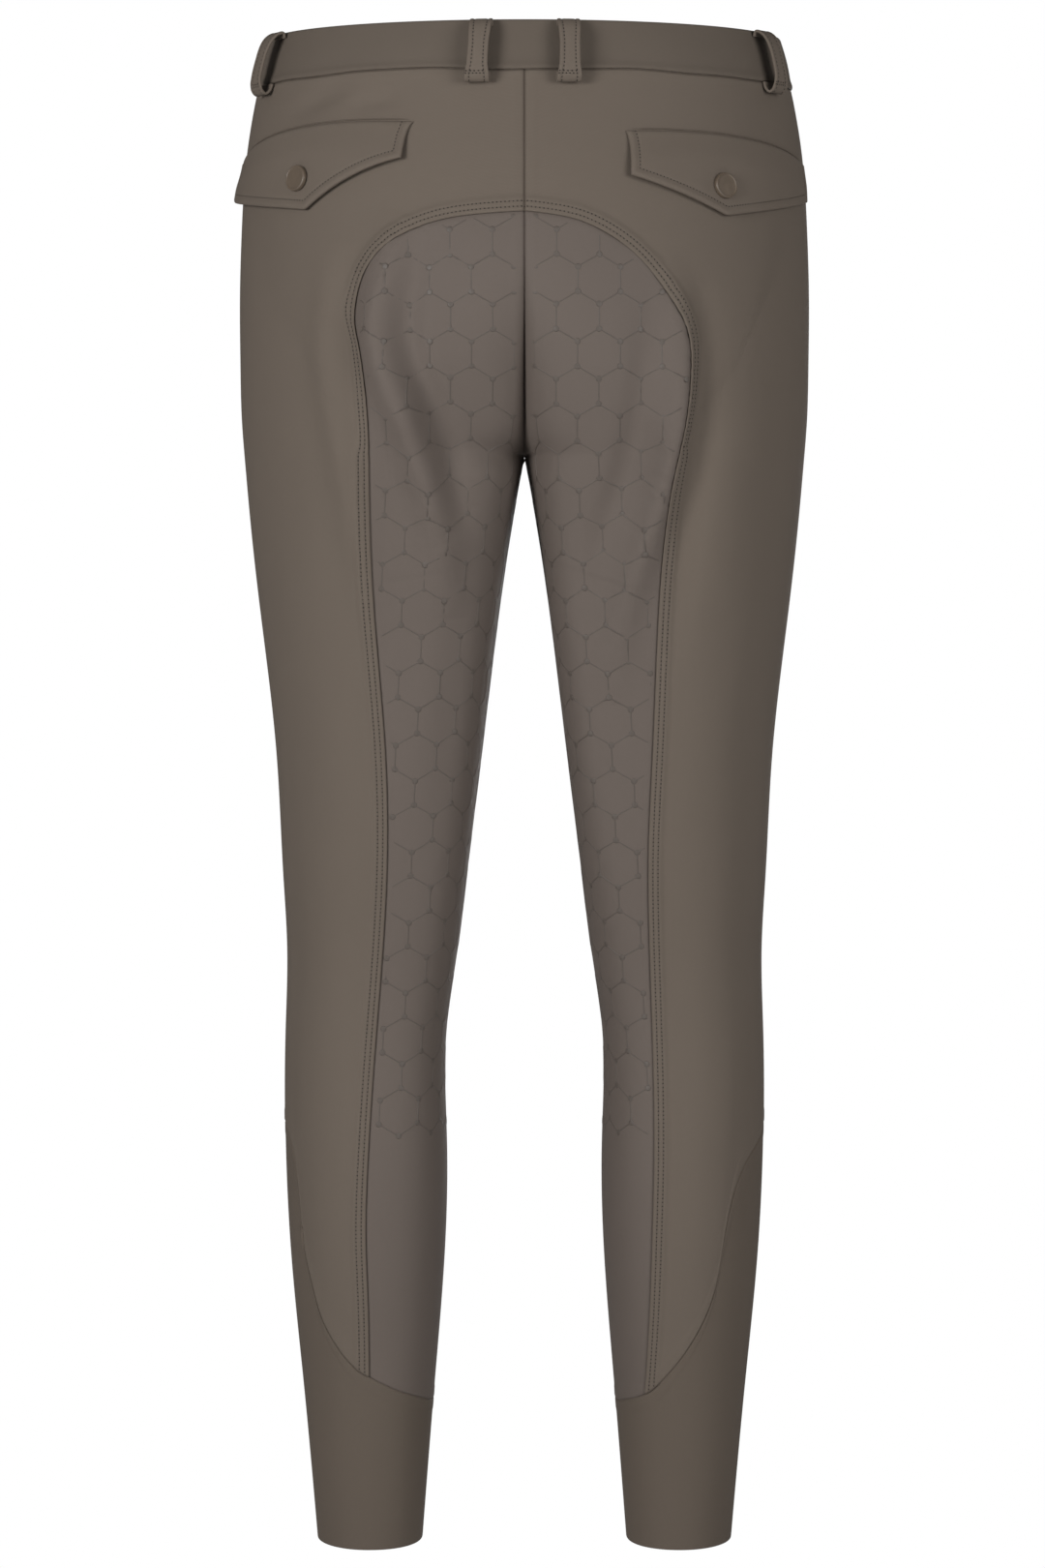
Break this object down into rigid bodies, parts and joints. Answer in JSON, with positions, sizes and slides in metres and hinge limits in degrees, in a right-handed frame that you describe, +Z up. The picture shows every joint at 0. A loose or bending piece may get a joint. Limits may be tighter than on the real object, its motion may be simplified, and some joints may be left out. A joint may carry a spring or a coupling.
{
  "type": "riding breeches",
  "caption": "Full-seat riding breeches, filled out as worn, with a buttoned waistband, belt loops, snapped back pocket flaps and elastic lower-leg cuffs.",
  "frame": {"origin": "centre of the waist opening, half way up the waistband", "axes": "+Z up out of the waist, -Y the back of the garment, +X the wearer's right"},
  "size_m": [0.3651, 0.256, 0.9603],
  "materials": {
    "outer_cloth": "matte taupe stretch jersey",
    "seat_cloth": "taupe stretch jersey with small printed grip dots",
    "cuff_cloth": "thin, fine-knit elastic jersey, a little darker",
    "horn": "dull brown plastic cap"
  },
  "bodies": {
    "root": {"back_left": "outer_cloth", "back_right": "outer_cloth", "front_left": "outer_cloth", "front_right": "outer_cloth", "seat_left": "seat_cloth", "seat_right": "seat_cloth", "cuff_left": "cuff_cloth", "cuff_right": "cuff_cloth", "waistband": "outer_cloth", "flap_left": "outer_cloth", "flap_right": "outer_cloth", "loop_back_left": "outer_cloth", "loop_back_right": "outer_cloth", "loop_side_left": "outer_cloth", "loop_side_right": "outer_cloth", "loop_front_left": "outer_cloth", "loop_front_right": "outer_cloth", "snap_left": "horn", "snap_right": "horn", "waist_button": "horn"}
  },
  "joints": []
}
